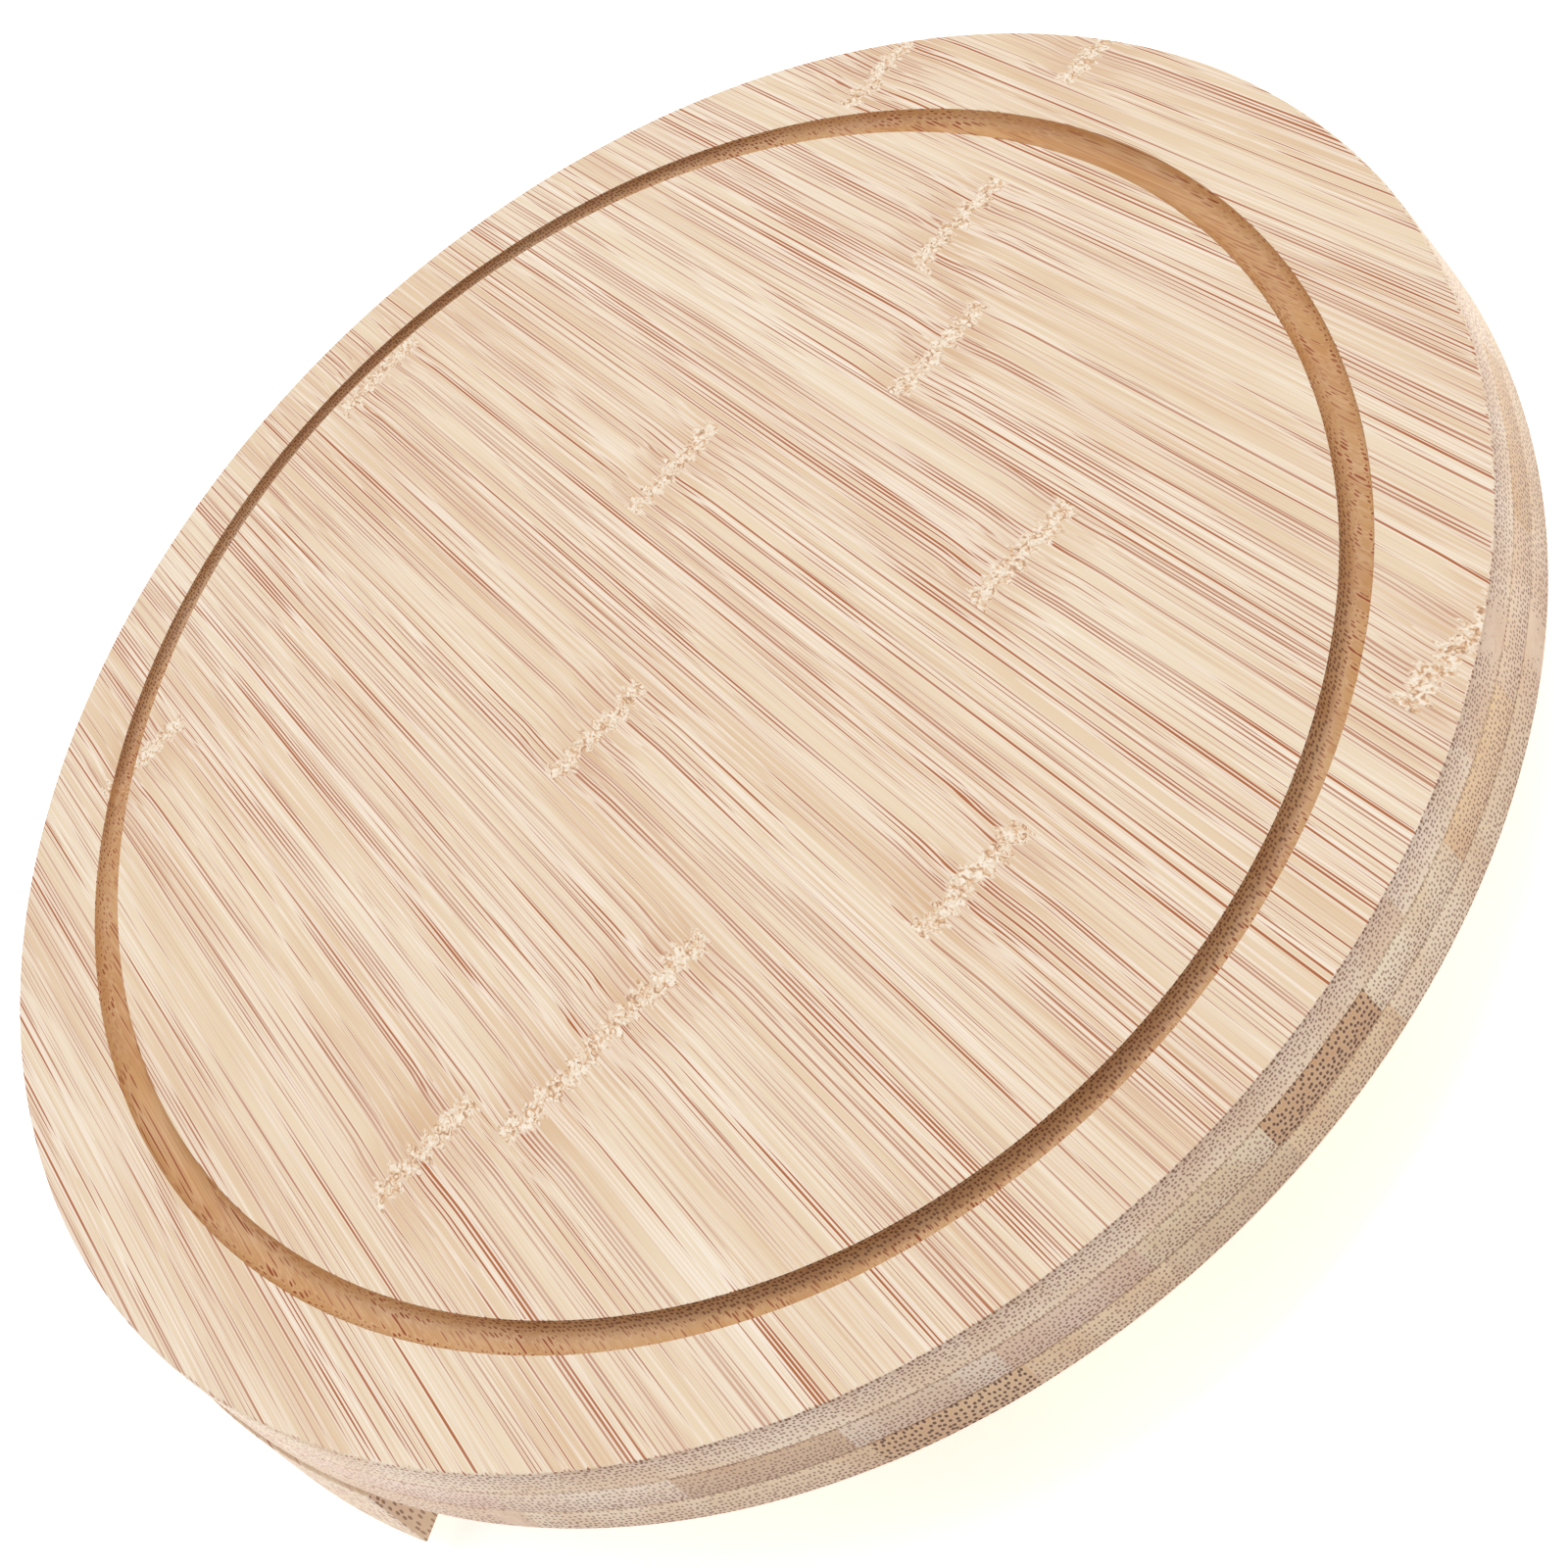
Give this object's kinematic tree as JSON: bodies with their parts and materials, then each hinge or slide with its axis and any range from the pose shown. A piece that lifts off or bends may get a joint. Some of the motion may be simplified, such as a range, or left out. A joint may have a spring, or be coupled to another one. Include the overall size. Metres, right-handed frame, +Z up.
{
  "type": "lazy susan turntable",
  "caption": "Oval bamboo serving turntable with a crumb groove and curved grip rails, turning on a ball bearing ring over a small round base.",
  "frame": {"origin": "on the table, under the bearing ring's centre", "axes": "+Z up along the turning axis, +X along the oval board's length, +Y across it"},
  "size_m": [0.4, 0.2822, 0.032],
  "materials": {
    "bamboo_top": "flat-pressed bamboo, sanded and oiled, scorched groove",
    "bamboo_core": "flat-pressed bamboo, sanded edge",
    "bamboo_bottom": "flat-pressed bamboo, sanded and oiled",
    "bamboo_rail": "flat-pressed bamboo, sanded and oiled",
    "bamboo_base": "flat-pressed bamboo, sanded",
    "beech_dowel": "turned beech",
    "race_aluminium": "mill finish, turned",
    "nylon_cage": "moulded nylon",
    "ball_steel": "ground and polished",
    "screw_steel": "zinc plated",
    "foot_rubber": "moulded rubber"
  },
  "bodies": {
    "base": {"base_upper_ply": "bamboo_base", "base_lower_ply": "bamboo_base", "outer_race": "race_aluminium", "outer_race_screw_1": "screw_steel", "outer_race_screw_2": "screw_steel", "outer_race_screw_3": "screw_steel", "outer_race_screw_4": "screw_steel", "foot_1": "foot_rubber", "foot_2": "foot_rubber", "foot_3": "foot_rubber", "foot_4": "foot_rubber", "foot_screw_1": "screw_steel", "foot_screw_2": "screw_steel", "foot_screw_3": "screw_steel", "foot_screw_4": "screw_steel"},
    "cage": {"ball_cage": "nylon_cage", "bearing_balls": "ball_steel"},
    "board": {"top_ply": "bamboo_top", "middle_ply": "bamboo_core", "bottom_ply": "bamboo_bottom", "grip_rail_1": "bamboo_rail", "grip_rail_2": "bamboo_rail", "rail_dowel_1": "beech_dowel", "rail_dowel_2": "beech_dowel", "rail_dowel_3": "beech_dowel", "rail_dowel_4": "beech_dowel", "rail_dowel_5": "beech_dowel", "rail_dowel_6": "beech_dowel", "inner_race": "race_aluminium", "inner_race_screw_1": "screw_steel", "inner_race_screw_2": "screw_steel", "inner_race_screw_3": "screw_steel", "inner_race_screw_4": "screw_steel"}
  },
  "joints": [
    {"name": "board_spin", "type": "hinge", "parent": "base", "child": "board", "pos_m": [0, 0, 0.013], "axis": [0, 0, 1], "continuous": true},
    {"name": "cage_spin", "type": "hinge", "parent": "base", "child": "cage", "pos_m": [0, 0, 0.013], "axis": [0, 0, 1], "continuous": true}
  ],
  "couplings": [
    {"joint": "cage_spin", "follows": "board_spin", "ratio": 0.5}
  ]
}
